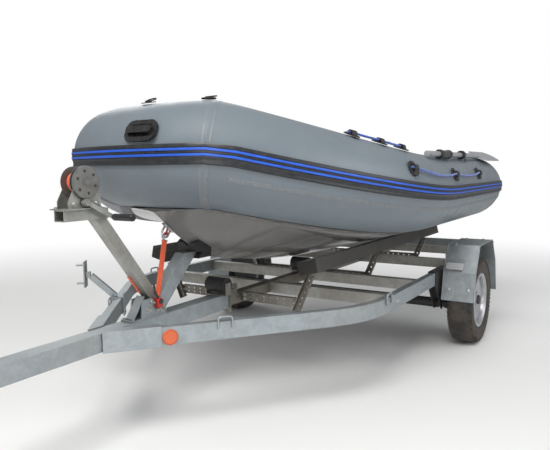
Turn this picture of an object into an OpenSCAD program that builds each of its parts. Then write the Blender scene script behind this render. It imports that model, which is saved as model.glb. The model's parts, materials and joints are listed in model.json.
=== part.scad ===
// Inflatable boat with a rigid hull on its galvanised road trailer.
// X runs forward along the drawbar, Y to port, Z up from the floor.
// The named places count from the wheel axle; the whole object is then moved
// so that the middle of its box stands on the origin.

/* [Boat] */
// tube radius along the sides
tube_r = 220; // [215:1:225]
// tube radius at the bow
bow_r = 243; // [238:1:246]
// half width between the tube centres, amidships
tube_y = 800; // [795:1:805]
// height of the tube centres amidships
tube_z = 1035; // [1033:1:1040]
// height of the tube centres at the bow
bow_z = 1250; // [1245:1:1255]
// keel height over the bunks
keel_z = 605; // [602:1:608]
// height of the top of the transom at its sides
transom_top = 1180; // [1150:5:1200]
// thickness of the transom board
transom_t = 40; // [30:1:45]
// lifeline rope diameter
rope_d = 12; // [10:1:14]

/* [Trailer] */
// drawbar section, height and width
bar_s = 80; // [78:1:82]
// side rail height
rail_h = 80; // [78:1:80]
// side rail width
rail_w = 40; // [38:1:42]
// height of the top of the frame
frame_z = 508; // [506:1:511]
// forward place where the rails meet the drawbar
vee_x = 2376; // [2372:1:2380]
// angle of each front rail to the drawbar
vee_a = 38.6; // [38.4:0.1:38.8]
// centre line of the rails beside the boat
rail_y = 810; // [809:1:811]
// radius of the bend in the rails
bend_r = 649; // [640:1:655]
// rear end of the rails
rail_end = -1080; // [-1100:5:-1070]
// winch post tube width
post_s = 50; // [48:1:52]

/* [Running gear] */
// tyre outer radius
tyre_r = 289; // [289:1:289]
// tyre width
tyre_w = 160; // [156:1:162]
// middle of the tyre, sideways
tyre_y = 963; // [960:1:965]
// rim flange radius
rim_r = 180; // [178:1:182]
// stub axle radius
stub_r = 17; // [16:0.5:18]
// running clearance round turning shafts
run_c = 0.05; // [0.03:0.01:0.08]

/* [Jockey wheel and coupling] */
// forward place of the coupling ball
ball_x = 3950; // [3940:5:3960]
// coupling ball socket radius
ball_r = 25.2; // [25.1:0.05:25.4]
// forward place of the jockey leg
jockey_x = 3400; // [3380:5:3420]
// jockey wheel radius
jockey_r = 100; // [98:1:100]

/* [Hidden] */
$fn = 64;
e = 0.3;
nose_x = ball_x + 40;
stern_x = rail_end - 88;
shift_x = -(nose_x + stern_x) / 2;
frame_b = frame_z - rail_h;
bar_b = frame_z - bar_s;
corner_x = 1888;
corner_y = 277;
front_x = 1934;
side_x = 650;
sheer_x = 500;

// ---------- helpers
module placed() { translate([shift_x, 0, 0]) children(); }
module both() { children(); mirror([0, 1, 0]) children(); }
function unit(v) = v / norm(v);
function flat(l) = [for (a = l) each a];

// ---------- boat centre lines
// part of the way from the straight side to the corner, and up the sheer
function bend_t(x) = max(0, (x - side_x) / (corner_x - side_x));
function sheer_t(x) = max(0, (x - sheer_x) / (corner_x - sheer_x));
function cl_y(x) = tube_y - (tube_y - corner_y) * pow(bend_t(x), 2.5);
function cl_z(x) = tube_z + (bow_z - tube_z) * pow(sheer_t(x), 2.2);
function cl_r(x) = tube_r + (bow_r - tube_r) * pow(sheer_t(x), 1.5);

// stern cone: distance aft of the last full station, radius factor, rise
CONE = [[560, 0.16, 14], [540, 0.36, 14], [480, 0.53, 12], [360, 0.73, 8], [220, 0.88, 3], [100, 0.968, 0]];
cone_x = -560;
SIDE_X = [cone_x, 0, side_x, 850, 1050, 1200, 1330, 1450, 1560, 1660, 1750, 1825, corner_x];
side_pts = concat(
    [for (c = CONE) [cone_x - c[0], tube_y, tube_z + c[2], tube_r * c[1]]],
    [for (x = SIDE_X) [x, cl_y(x), cl_z(x), cl_r(x)]]);
n_side = len(side_pts);
FRONT_T = [0.6, 0.2, -0.2, -0.6];
front_pts = [for (t = FRONT_T) [corner_x + (front_x - corner_x) * (1 - t * t), corner_y * t, bow_z, bow_r]];
path = concat(side_pts, front_pts, [for (i = [n_side - 1:-1:0]) [side_pts[i][0], -side_pts[i][1], side_pts[i][2], side_pts[i][3]]]);
n_path = len(path);
function pp(i) = [path[i][0], path[i][1], path[i][2]];
function dir_in(i) = i == 0 ? unit(pp(1) - pp(0)) : unit(pp(i) - pp(i - 1));
function dir_out(i) = i == n_path - 1 ? dir_in(i) : unit(pp(i + 1) - pp(i));
function mitre(i) = unit(dir_in(i) + dir_out(i));
function outw(i) = unit(cross([0, 0, 1], mitre(i)));
function upw(i) = cross(mitre(i), outw(i));
// a point of station i at angle a from straight outward, extra beyond the tube skin
function skin(i, a, extra, slide = 0) =
    let (k = 1 / (mitre(i) * dir_in(i)), r = path[i][3] + extra)
    pp(i) + slide * mitre(i) + r * k * cos(a) * outw(i) + r * sin(a) * upw(i);

// a solid through rings that all have the same number of points
module rings(rs) {
    n = len(rs); m = len(rs[0]);
    polyhedron(points = flat(rs), faces = concat(
        [[for (j = [m - 1:-1:0]) j]],
        [[for (j = [0:m - 1]) (n - 1) * m + j]],
        [for (i = [0:n - 2]) for (j = [0:m - 1]) [i * m + j, i * m + (j + 1) % m, (i + 1) * m + (j + 1) % m]],
        [for (i = [0:n - 2]) for (j = [0:m - 1]) [i * m + j, (i + 1) * m + (j + 1) % m, (i + 1) * m + j]]),
        convexity = 6);
}
// a length of the tube between stations i0 and i1
module tube_run(i0, i1, gap0 = 0, gap1 = 0, sides = 36)
    rings([for (i = [i0:i1]) [for (j = [0:sides - 1]) skin(i, j * 360 / sides, 0, i == i0 ? gap0 : i == i1 ? -gap1 : 0)]]);
// a band on the tube between two angles, from one height over the skin to another
module band(i0, i1, a0, a1, h0, h1, steps = 4)
    rings([for (i = [i0:i1]) concat(
        [for (j = [0:steps]) skin(i, a0 + (a1 - a0) * j / steps, h1)],
        [for (j = [steps:-1:0]) skin(i, a0 + (a1 - a0) * j / steps, h0)])]);

c0 = n_side - 1;
c1 = n_path - n_side;
module bow_tube() color("#6f7376") placed() tube_run(c0, c1, e, e);
module port_tube() color("#6f7376") placed() tube_run(0, c0);
module starboard_tube() color("#6f7376") placed() tube_run(c1, n_path - 1);

strake_lo = -10.5;
strake_hi = 10.5;
module rub_strake() color("#17181a") placed() band(2, n_path - 3, strake_lo, strake_hi, 1.2, 9, 2);
// stripe bands, each from one angle to another
STRIPES = [[3.2, 6.0], [-2.2, 0.6]];
module strake_stripes() color("#1b3fa8") placed()
    for (s = STRIPES) band(2, n_path - 3, s[0], s[1], 9 + e, 12, 2);
module seam_tape() color("#2c2e30") placed() band(6, n_path - 7, -93, -80, 1, 5, 3);

// ---------- hull
// after end of the hull, where the transom stands
tr_f = -600;
// station, keel height, chine half width, chine height
HULL = [[tr_f, keel_z, 640, 754], [100, keel_z, 640, 758],
    [650, keel_z + 6, 632, 768], [1000, keel_z + 32, 585, 795], [1250, keel_z + 62, 510, 835],
    [1450, keel_z + 94, 415, 880], [1600, keel_z + 131, 325, 922], [1730, keel_z + 190, 240, 958],
    [1850, keel_z + 270, 160, 985]];
function top_y(x) = cl_y(x) - 20;
function top_z(x) = cl_z(x) - cl_r(x) - 2;
stem_x = 1985;
module boat_hull() color("#7b7a78") placed()
    rings(concat(
        [for (h = HULL) let (x = h[0]) [[x, 0, h[1]], [x, h[2], h[3]], [x, top_y(x), top_z(x)],
            [x, -top_y(x), top_z(x)], [x, -h[2], h[3]]]],
        [[[stem_x, 0, 985], [stem_x - 2, 60, top_z(corner_x) - 14], [stem_x - 8, 150, top_z(corner_x)],
            [stem_x - 8, -150, top_z(corner_x)], [stem_x - 2, -60, top_z(corner_x) - 14]]]));

// floor panel: station and half width at each
FLOOR_X = [tr_f + 30, 100, 650, 1000, 1250, 1450, 1600];
module deck_floor() color("#8d9093") placed()
    rings([for (x = FLOOR_X) [[x, cl_y(x) - 95, top_z(x) + e + 1], [x, cl_y(x) - 95, top_z(x) + 12],
        [x, -cl_y(x) + 95, top_z(x) + 12], [x, -cl_y(x) + 95, top_z(x) + e + 1]]]);

tr_x = tr_f - e;
module transom() color("#2a2c2e") placed()
    translate([tr_x, 0, 0]) rotate([90, 0, -90]) linear_extrude(transom_t)
        polygon([[0, keel_z + 8], [600, 745], [640, 790], [600, 812], [575, 950], [572, 1100], [568, transom_top],
            [330, transom_top], [270, 1075], [-270, 1075], [-330, transom_top],
            [-568, transom_top], [-572, 1100], [-575, 950], [-600, 812], [-640, 790], [-600, 745]]);

// thwarts: forward place
THWARTS = [-170, 620];
module thwarts() color("#53575a") placed()
    for (x = THWARTS) let (w = cl_y(x + 120) - cl_r(x + 120) - 4) translate([x - 120, -w, tube_z + 6])
        cube([240, 2 * w, 26]);

// ---------- boat fittings
// point on the tube at forward place x and angle a, with its outward direction
function side_dir(x) = unit([2, cl_y(x + 1) - cl_y(x - 1), cl_z(x + 1) - cl_z(x - 1)]);
function side_out(x) = unit(cross([0, 0, 1], side_dir(x)));
function side_up(x) = cross(side_dir(x), side_out(x));
function on_side(x, a, h) = [x, cl_y(x), cl_z(x)] + (cl_r(x) + h) * (cos(a) * side_out(x) + sin(a) * side_up(x));
// stands children on the port tube: local X along the tube, local Z out of the skin
module at_side(x, a, h = 0) {
    d = side_dir(x); n = cos(a) * side_out(x) + sin(a) * side_up(x); w = cross(n, d); p = on_side(x, a, h);
    multmatrix([[d[0], w[0], n[0], p[0]], [d[1], w[1], n[1], p[1]], [d[2], w[2], n[2], p[2]], [0, 0, 0, 1]]) children();
}
// stands children on the bow section: local X to starboard, local Z out of the skin
module at_bow(y, a, h = 0)
    translate([front_x - 6, y, bow_z]) rotate([0, -a, 0]) translate([bow_r + h, 0, 0]) rotate([0, 90, 0]) rotate([0, 0, -90]) children();

module bow_handle() color("#131415") placed() at_bow(104, 24, 4) {
    difference() {
        linear_extrude(9) offset(r = 40) square([100, 20], center = true);
        translate([0, 0, 3]) linear_extrude(20) offset(r = 22) square([92, 14], center = true);
    }
    translate([0, 0, 9]) difference() {
        linear_extrude(16) offset(r = 12) square([120, 8], center = true);
        translate([0, 0, -1]) linear_extrude(10) square([104, 60], center = true);
    }
}

// a D-ring on a round patch
module d_ring() {
    cylinder(r = 34, h = 4);
    translate([-16, -6, 3]) cube([32, 12, 9]);
    translate([0, 0, 8]) rotate([-12, 0, 0]) translate([0, -22, 0]) rotate_extrude($fn = 48) translate([22, 0]) circle(r = 3, $fn = 24);
}
module d_rings() color("#1a1b1c") placed() {
    at_bow(-28, 80, 6) d_ring();
    translate([-34, 0, 0]) at_bow(266, 90, 6) d_ring();
}

// side lifeline holders: forward place
HOLD = [1120, 560, 0];
hold_a = 27;
// top grab line holders
TOP_HOLD = [1400, 1225, 1040];
top_a = 72;
module holder() {
    difference() {
        cylinder(r = 42, h = 4);
    }
    translate([0, 0, 4]) difference() {
        translate([-17, -13, 0]) cube([34, 26, 19]);
        translate([-20, 0, 9]) rotate([0, 90, 0]) cylinder(r = rope_d / 2 + 2.2, h = 40, $fn = 32);
    }
}
module rope_holders() color("#141516") placed() both() {
    for (x = HOLD) at_side(x, hold_a, 5) holder();
    for (x = TOP_HOLD) at_side(x, top_a, 5) holder();
}

// rope along the holders, with a slight hang between them
rope_h = 5 + 4 + 9;
ROPE_T = [0, 0.25, 0.5, 0.75];
function rope_span(x0, x1, a, sag) = [for (t = ROPE_T)
    let (x = x0 + (x1 - x0) * t, s = 4 * t * (1 - t)) on_side(x, a - sag * s, rope_h - 1.4 * sag * s)];
function rope_line(l, a, sag) = concat([on_side(l[0] + 26, a, rope_h)],
    flat([for (i = [0:len(l) - 2]) rope_span(l[i], l[i + 1], a, sag)]),
    [on_side(l[len(l) - 1], a, rope_h), on_side(l[len(l) - 1] - 26, a, rope_h)]);
module cord(pts, r, sides = 10) {
    n = len(pts);
    rings([for (i = [0:n - 1]) let (
        d = unit(pts[min(i + 1, n - 1)] - pts[max(i - 1, 0)]),
        o = unit(cross([0, 0, 1], d)), u = cross(d, o))
        [for (j = [0:sides - 1]) pts[i] + r * cos(j * 360 / sides) * o + r * sin(j * 360 / sides) * u]]);
}
module lifelines() color("#2450c4") placed() both() {
    cord(rope_line(HOLD, hold_a, 4), rope_d / 2);
    cord(rope_line(TOP_HOLD, top_a, 0.6), rope_d / 2);
}

// oars lie along the tubes: forward end, after end of the shaft, angle on the tube
oar_f = 1010;
oar_a = -740;
oar_h = 30;
oar_ang = 63;
oar_y = cl_y(0) + (tube_r + oar_h) * cos(oar_ang);
oar_z = tube_z + (tube_r + oar_h) * sin(oar_ang);
module oars() color("#8b8f92") placed() both() {
    translate([oar_f - 200, oar_y, oar_z]) rotate([0, -90, 0]) cylinder(r = 16, h = oar_f - 200 - oar_a - 400);
    translate([oar_a + 400 - e, oar_y, oar_z]) rotate([oar_ang - 90, 0, 0]) rotate([0, -90, 0]) {
        linear_extrude(430) polygon([for (p = [[-9, -20], [-4, -70], [4, -70], [9, -20], [9, 20], [4, 70], [-4, 70], [-9, 20]]) p]);
    }
}
// oar collars: forward place, length, outer radius
COLLARS = [[590, 200, 24], [120, 46, 24]];
module oar_holders() color("#161718") placed() both() for (c = COLLARS) {
    translate([c[0], oar_y, oar_z]) rotate([0, -90, 0]) difference() {
        cylinder(r = c[2], h = c[1]);
        translate([0, 0, -1]) cylinder(r = 16.3, h = c[1] + 2);
    }
}

// U-bolt under the stem; the stem slopes at stem_a here
eye_x = 1897;
eye_z = 911;
stem_a = 39.2;
module at_stem(h) translate([eye_x, 0, eye_z]) rotate([0, -stem_a, 0]) translate([0, 0, -h]) children();
module bow_eye() color("#c9ccce") placed() {
    at_stem(7) translate([-38, -9, 0]) cube([76, 18, 6]);
    for (s = [-1, 1]) at_stem(34) translate([s * 22, 0, 0]) cylinder(r = 5, h = 27, $fn = 32);
    at_stem(34) rotate([90, 0, 0]) rotate([0, 0, 180]) rotate_extrude(angle = 180, $fn = 48) translate([22, 0]) circle(r = 5, $fn = 32);
}

// ---------- trailer frame
module drawbar() color("#aab0b3") placed() {
    translate([1482, -bar_s / 2, bar_b]) cube([ball_x - 180 - 1482, bar_s, bar_s]);
}
module inner_beam() color("#8f8a80") placed() {
    translate([rail_end + 25, -30, frame_z - 72]) cube([1482 - 8 - rail_end - 25, 60, 60]);
    translate([1474, -52, frame_z - 98]) cube([8 - e, 104, 104]);
    translate([1400, 30 + e, frame_z - 60]) difference() {
        cube([70, 8, 105]);
        translate([35, -1, 85]) rotate([-90, 0, 0]) cylinder(r = 9, h = 10);
    }
}

// rail path from the vee: first straight, bend, straight beside the boat
b_sin = sin(vee_a);
b_cos = cos(vee_a);
bend_y0 = rail_y - bend_r * (1 - b_cos);
s1 = bend_y0 / b_sin;
bend_x0 = vee_x - s1 * b_cos;
arc_x = bend_x0 - bend_r * b_sin;
arc_y = rail_y - bend_r;
module rail_shape(w, h0, h1, s_from, s_to) {
    translate([vee_x, 0, h0]) rotate([0, 0, 180 - vee_a]) translate([s_from, -w / 2, 0]) cube([s_to - s_from, w, h1 - h0]);
}
// one edge of the rail in plan, a distance out from its centre line
BEND_T = [for (i = [0:14]) i / 14];
function rail_edge(o) = concat([[vee_x - 60 * b_cos + o * b_sin, 60 * b_sin + o * b_cos]],
    [for (t = BEND_T) let (f = 90 - vee_a * (1 - t)) [arc_x + (bend_r + o) * cos(f), arc_y + (bend_r + o) * sin(f)]],
    [[rail_end, rail_y + o]]);
function back(l) = [for (i = [len(l) - 1:-1:0]) l[i]];
module side_rail() translate([0, 0, frame_b]) linear_extrude(rail_h) difference() {
    polygon(concat(rail_edge(rail_w / 2), back(rail_edge(-rail_w / 2))));
    translate([1500, -200]) square([1000, 200 + bar_s / 2 + e]);
}
module side_rails() color("#b3b9bc") placed() both() side_rail();

sock_t = 6;
module rail_sockets() color("#b9bfc2") placed() both() difference() {
    rail_shape(rail_w + 2 * sock_t, frame_b - sock_t, frame_z + sock_t, 40, 284);
    rail_shape(rail_w + 2 * e, frame_b - e, frame_z + e, 0, 400);
    translate([1500, -200, 0]) cube([1000, 200 + bar_s / 2 + e, 900]);
}

// crossmembers: forward place, fore-and-aft width
CROSS = [[1030, 50], [560, 50], [-320, 60], [-1030, 50]];
cross_in = 30 + e;
cross_out = rail_y - rail_w / 2 - e;
module crossmembers() color("#a7acae") placed() both() {
    for (c = CROSS) translate([c[0] - c[1] / 2, cross_in, frame_z - 74]) cube([c[1], cross_out - cross_in, 64]);
}

// bunk crossbars: forward place of the front face
BARS = [1352, 464, -500];
bar_out = 402;
bar_h = 50;
bar_z = 446;
module perforated(len, h, t, rows, pitch) difference() {
    cube([t, len, h]);
    for (r = rows) for (y = [20:pitch:len - 15]) translate([-1, y, r]) rotate([0, 90, 0]) cylinder(r = 4.5, h = t + 2, $fn = 24);
}
module crossbars() color("#8c8578") placed() both() for (x = BARS) translate([x, cross_in, bar_z]) {
    translate([-3, 0, 0]) perforated(bar_out - cross_in, bar_h, 3, [14, 36], 44);
    translate([-24, 0, bar_h - 3]) cube([21, bar_out - cross_in, 3]);
    translate([-24, 0, 0]) cube([21, bar_out - cross_in, 3]);
}

// bunk legs lean outward: foot height and lean
leg_a = 24;
leg_l = 230;
leg_y = 392;
leg_z = 420;
module bunk_leg(x) translate([x, leg_y, leg_z]) rotate([-leg_a, 0, 0]) {
    difference() {
        translate([0, -20, 0]) cube([3, 40, leg_l]);
        for (z = [18:36:leg_l - 10]) translate([-1, 0, z]) rotate([0, 90, 0]) cylinder(r = 5, h = 5, $fn = 24);
    }
    translate([3, -20, 0]) cube([18, 3, leg_l]);
    translate([3, 17, 0]) cube([18, 3, leg_l]);
}
module bunk_legs() color("#7d776c") placed() both() for (x = BARS) bunk_leg(x + e);

// bunks: padded boards along the hull, tilted to its bottom
bunk_f = 1440;
bunk_b = -590;
bunk_y = 500;
bunk_z = 719;
bunk_tilt = 13;
bunk_w = 110;
bunk_t = 70;
module bunks() color("#2d2b28") placed() both()
    translate([bunk_b, bunk_y, bunk_z]) rotate([bunk_tilt, 0, 0])
        translate([0, -bunk_w / 2, -bunk_t]) cube([bunk_f - bunk_b, bunk_w, bunk_t]);

// keel rollers: forward place, height of the axis, roller radius, half length
ROLL = [[1520, 564, 40, 62], [620, 551, 42, 60]];
module keel_rollers() color("#191919") placed() for (r = ROLL)
    translate([r[0], 0, r[1]]) rotate([90, 0, 0]) difference() {
        cylinder(r = r[2], h = 2 * r[3], center = true);
        cylinder(r = 8.3, h = 2 * r[3] + 2, center = true);
    }
module roller_brackets() color("#9aa0a2") placed() for (r = ROLL) {
    base = r[0] > 1480 ? frame_z : frame_z - 12;
    translate([r[0], 0, r[1]]) rotate([90, 0, 0]) cylinder(r = 8, h = 2 * r[3] + 20, center = true);
    difference() {
        for (s = [-1, 1]) translate([r[0] - 22, s * (r[3] + 4) - 2, base + 5]) cube([44, 4, r[1] - base + 8]);
        translate([r[0], 0, r[1]]) rotate([90, 0, 0]) cylinder(r = 8, h = 400, center = true);
    }
    translate([r[0] - 30, -r[3] - 6, base + e]) cube([60, 2 * r[3] + 12, 5]);
}

// ---------- winch post, bow post
// both posts rise from one foot on the drawbar: the winch post forward, the bow post aft
foot_z = frame_z + 8;
wp_s = 48;
wp_x = 2002;
wp_z = 560;
wp_a = 52.9;
wp_top = 986;
bp_x = 2032;
bp_a = 45;
bp_top = 775;
bp_w = 60;
bp_d = 70;
module wp_box(g) translate([wp_x, 0, wp_z]) rotate([0, 90 - wp_a, 0]) translate([-wp_s / 2 - g, -post_s / 2 - g, -60]) cube([wp_s + 2 * g, post_s + 2 * g, 760]);
module bp_box(g) translate([bp_x, 0, foot_z]) rotate([0, -bp_a, 0]) translate([-bp_d / 2 - g, -bp_w / 2 - g, -80]) cube([bp_d + 2 * g, bp_w + 2 * g, 560]);
module winch_post() color("#8f9491") placed() difference() {
    wp_box(0);
    bp_box(e);
    translate([1500, -100, 0]) cube([1100, 200, foot_z]);
    translate([1500, -100, wp_top]) cube([1100, 200, 400]);
    translate([1400, -100, 0]) cube([wp_x - 1400, 200, 900]);
}
module bow_post() color("#a9afb1") placed() difference() {
    bp_box(0);
    translate([1500, -100, 0]) cube([1100, 200, foot_z]);
    translate([1500, -100, bp_top]) cube([1100, 200, 400]);
}
module post_base() color("#b9bec0") placed() {
    // sole plate on the drawbar, cheeks beside the posts, sloping front plate
    translate([bp_x - 70, -38, frame_z + e]) cube([220, 76, foot_z - frame_z - 2 * e]);
    for (s = [-1, 1]) translate([0, s * (bp_w / 2 + 3 + e), 0]) rotate([90, 0, 0]) linear_extrude(6, center = true)
        polygon([[bp_x - 66, foot_z], [bp_x + 96, foot_z], [bp_x + 86, foot_z + 82], [bp_x + 30, foot_z + 84], [bp_x - 60, foot_z + 30]]);
    translate([bp_x + 128, -post_s / 2, foot_z]) rotate([0, -37, 0]) cube([5, post_s, 116]);
}
// rubber block with a V for the stem, on a plate on the bow post
// outline in side view, then the V: its line runs under the keel at keel_a
BLOCK = [[1650, 742], [1752, 742], [1718, 776.5], [1760, 776.5], [1766, 822], [1745, 838], [1650, 790]];
keel_a = 24.4;
vee_half = 30;
module bow_block() color("#121212") placed() difference() {
    rotate([90, 0, 0]) linear_extrude(124, center = true) polygon(BLOCK);
    translate([1500, 0, 686]) rotate([0, -keel_a, 0]) rotate([90, 0, 90]) linear_extrude(520)
        polygon([[0, 0], [200, 200 * tan(vee_half)], [200, 400], [-200, 400], [-200, 200 * tan(vee_half)]]);
}

// ---------- winch
win_x = 2410;
win_z = 1140;
win_gear = 66;
win_pin = 15;
crank_x = win_x + 10;
crank_z = win_z - sqrt(pow(win_gear + win_pin + 0.6, 2) - 100);
win_base = 1036;
module winch_frame() color("#8b8f90") placed() {
    // channel on the post head
    difference() {
        translate([2288, -30, wp_top + e]) cube([221, 60, win_base - wp_top - 5]);
        translate([2280, -26, wp_top + 4]) cube([300, 52, win_base - wp_top - 13]);
    }
    translate([win_x - 85, -52, win_base - 5 + 2 * e]) cube([187, 104, 5]);
    // side plates
    for (s = [-1, 1]) difference() {
        translate([0, s * 33, 0]) rotate([90, 0, 0]) linear_extrude(4, center = true)
            polygon([[win_x - 80, win_base + 2 * e], [win_x + 80, win_base + 2 * e], [win_x + 80, win_base + 30], [win_x + 26, win_z + 22], [win_x - 26, win_z + 22], [win_x - 80, win_base + 50]]);
        translate([win_x, 0, win_z]) rotate([90, 0, 0]) cylinder(r = 8 + run_c, h = 100, center = true);
        translate([crank_x, 0, crank_z]) rotate([90, 0, 0]) cylinder(r = 7 + run_c, h = 100, center = true);
    }
}
module y_cyl(x, z, r, y0, y1, f = 48) translate([x, y1, z]) rotate([90, 0, 0]) cylinder(r = r, h = y1 - y0, $fn = f);
module winch_drum() color("#d24a20") placed() {
    y_cyl(win_x, win_z, 8, -44, 42);
    y_cyl(win_x, win_z, 34, -25, 25);
    for (s = [-1, 1]) y_cyl(win_x, win_z, 64, s * 27 - 2, s * 27 + 2);
    y_cyl(win_x, win_z, win_gear, 42, 50);
    y_cyl(win_x, win_z, 13, 50, 56);
}
crank_a = 27;
crank_l = 148;
module winch_crank() color("#7e8386") placed() {
    y_cyl(crank_x, crank_z, 7, -42, 42);
    y_cyl(crank_x, crank_z, win_pin, 42, 58, 40);
    translate([crank_x, 0, crank_z]) rotate([0, 180 - crank_a, 0]) {
        translate([-14, 58, -9]) cube([crank_l + 24, 6, 18]);
        translate([crank_l, 64, 0]) rotate([-90, 0, 0]) cylinder(r = 13, h = 112, $fn = 40);
    }
}

// ---------- bow tie-down: webbing from the eye to a ratchet at the foot
strap_w = 30;
strap_a = [1927, 2, 850];
strap_b = [2021, 36.5, 606];
module tie_strap() color("#e0521f") placed() {
    d = strap_b - strap_a; n = norm(d); a = atan2(d[1], -d[2]); b = atan2(d[0], norm([d[1], d[2]]));
    translate(strap_a) rotate([a, 0, 0]) rotate([0, -b, 0]) translate([-strap_w / 2, -1.75, -n]) cube([strap_w, 3.5, n]);
    // turn of the webbing on the front of the winch post
    translate([wp_x, 0, wp_z]) rotate([0, 90 - wp_a, 0]) translate([wp_s / 2 + e, -post_s / 2 - 2, 100]) cube([3, 17, 104]);
}
module strap_fittings() color("#a8261c") placed() {
    // hook through the eye
    translate([1917, 0, 876]) rotate([0, 62, 0]) {
        translate([-12, -13, -3]) cube([14, 26, 4]);
        translate([-30, -4, -4]) cube([18, 8, 6]);
    }
    // ratchet beside the foot
    translate([2010, bp_w / 2 + 8, 556]) rotate([0, 16, 0]) cube([28, 22, 44]);
}

// ---------- spare wheel carrier on the starboard rail
sp_s = 690;
sp_out = 175;
sp_z = 640;
sp_pcd = 98;
stud_r = 6;
module at_rail(s) mirror([0, 1, 0]) translate([vee_x, 0, 0]) rotate([0, 0, 180 - vee_a]) translate([s, 0, 0]) mirror([0, 1, 0]) children();
module spare_carrier() color("#b9bec0") placed() at_rail(sp_s) {
    // clamp plates over and under the rail with two bolts
    for (z = [frame_b - 6 - e, frame_z + e]) translate([-26, -34, z]) cube([52, 72, 6]);
    for (x = [-18, 18]) for (y = [-29, 28]) translate([x, y, frame_b - 18]) cylinder(r = 4, h = rail_h + 40, $fn = 24);
    // arm, outward and up
    translate([-15, 38 + 0, frame_z - 4]) rotate([43, 0, 0]) translate([0, -10, 8]) cube([30, sp_out - 4, 30]);
    translate([-15, 142, sp_z - 18]) cube([30, sp_out - 152 - 0.01, 30]);
    // plate and studs
    translate([-35, sp_out - 10, sp_z - 70]) cube([70, 6, 140]);
    for (s = [-1, 1]) translate([0, sp_out - 4, sp_z + s * sp_pcd / 2]) rotate([-90, 0, 0]) cylinder(r = stud_r, h = 42, $fn = 32);
}

module staple(w, h) {
    for (s = [-1, 1]) translate([s * (w / 2 - 12), 0, 0]) {
        translate([s * 12, 0, 0]) cylinder(r = 4.5, h = h - 12, $fn = 24);
        translate([0, 0, h - 12]) rotate([90, 0, 0]) rotate([0, 0, s > 0 ? 0 : 90]) rotate_extrude(angle = 90, $fn = 24) translate([12, 0]) circle(r = 4.5, $fn = 24);
    }
    translate([-w / 2 + 12, 0, h]) rotate([0, 90, 0]) cylinder(r = 4.5, h = w - 24, $fn = 24);
}
hook_s = 568;
hook_x = 1150;
module lashing_hooks() color("#b5babd") placed() both() {
    mirror([0, 1, 0]) at_rail(hook_s) translate([0, rail_w / 2 + 5, frame_z - 32]) staple(64, 54);
    translate([hook_x, rail_y + rail_w / 2 + 5, frame_z - 32]) staple(64, 54);
}
module side_reflectors() color("#f0470c") placed() both()
    mirror([0, 1, 0]) at_rail(322) translate([0, rail_w / 2 + e, frame_z - 46]) rotate([-90, 0, 0]) {
        cylinder(r = 34, h = 4);
        translate([0, 0, 4]) cylinder(r1 = 31, r2 = 29, h = 3);
    }

// ---------- fenders: outline from the front lower edge over the top to the rear
FENDER = [[300, 330], [258, 508], [160, 676], [-200, 676], [-305, 520], [-345, 300]];
fend_in = 856;
fend_out = 1062;
fend_t = 3;
function inset(p) = let (c = [0, tyre_r], d = p - c) c + d * (1 - 1.15 * fend_t / norm(d));
// the front stay stands outside the axle's bracket
function stay_y(x) = rail_y + rail_w / 2 + e + (x > 0 ? 6 + 2 * e : 0);
module fenders() color("#aeb6ba") placed() both() {
    translate([0, fend_out, 0]) rotate([90, 0, 0]) linear_extrude(fend_out - fend_in)
        polygon(concat(FENDER, [for (i = [len(FENDER) - 1:-1:0]) inset(FENDER[i])]));
    // stays from the rail
    for (x = [120, -170]) translate([x, stay_y(x), 660]) cube([30, fend_out - 12 - stay_y(x), 4]);
    for (x = [120, -170]) translate([x, stay_y(x), frame_z - 60]) cube([30, 4, 200 + 4]);
}
// position lamp in the front face of the fender
module marker_lamps() color("#dfe4e6") placed() both()
    translate([252, 874, 520]) rotate([0, -30, 0]) translate([4, 0, 0]) cube([16, 104, 44]);

// rear light board with lamps at its ends, plain plate in the middle
board_x = rail_end - 46;
module light_board() color("#9aa0a3") placed() {
    translate([board_x, -880, 452]) cube([4, 1760, 100]);
    for (s = [-1, 1]) translate([board_x + 4, s * rail_y - 20, 460]) cube([rail_end - board_x - 4 - e, 40, 50]);
    translate([board_x - 3, -260, 446]) cube([3, 520, 112]);
}
module tail_lamps() color("#9c1714") placed() both()
    translate([board_x - 42, 640, 458]) cube([42 - e, 220, 88]);

// ---------- axle and wheels
ax_x = 158;
ax_z = 276;
ax_r = 32;
arm_y0 = 806;
arm_y1 = 836;
module axle_beam() color("#4a4c4b") placed() {
    y_cyl(ax_x, ax_z, ax_r, -800, 800);
    both() for (y = [rail_y - rail_w / 2 - 6 - e, rail_y + rail_w / 2 + e]) translate([0, y, 0]) translate([0, 6, 0]) rotate([90, 0, 0]) linear_extrude(6) difference() {
        polygon([[ax_x - 70, ax_z - 26], [ax_x + 64, ax_z - 26], [ax_x + 190, frame_b - 12], [ax_x + 190, frame_z + 6], [ax_x - 100, frame_z + 6], [ax_x - 100, frame_b - 20]]);
        translate([ax_x, ax_z]) circle(r = y < rail_y ? ax_r : 44);
    }
    both() translate([ax_x - 100, rail_y - rail_w / 2 - 6 - e, frame_z + e]) cube([290, rail_w + 12 + 2 * e, 6]);
}
module axle_arms() color("#2f3131") placed() both() {
    y_cyl(ax_x, ax_z, 26, 800 + e, arm_y1);
    hull() {
        y_cyl(ax_x, ax_z, 32, 842, 862);
        y_cyl(0, tyre_r, 34, 842, 862);
    }
    y_cyl(ax_x, ax_z, 26, arm_y1, 842);
    y_cyl(0, tyre_r, stub_r, 862, tyre_y + 32);
}
hub_r = 42;
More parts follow.
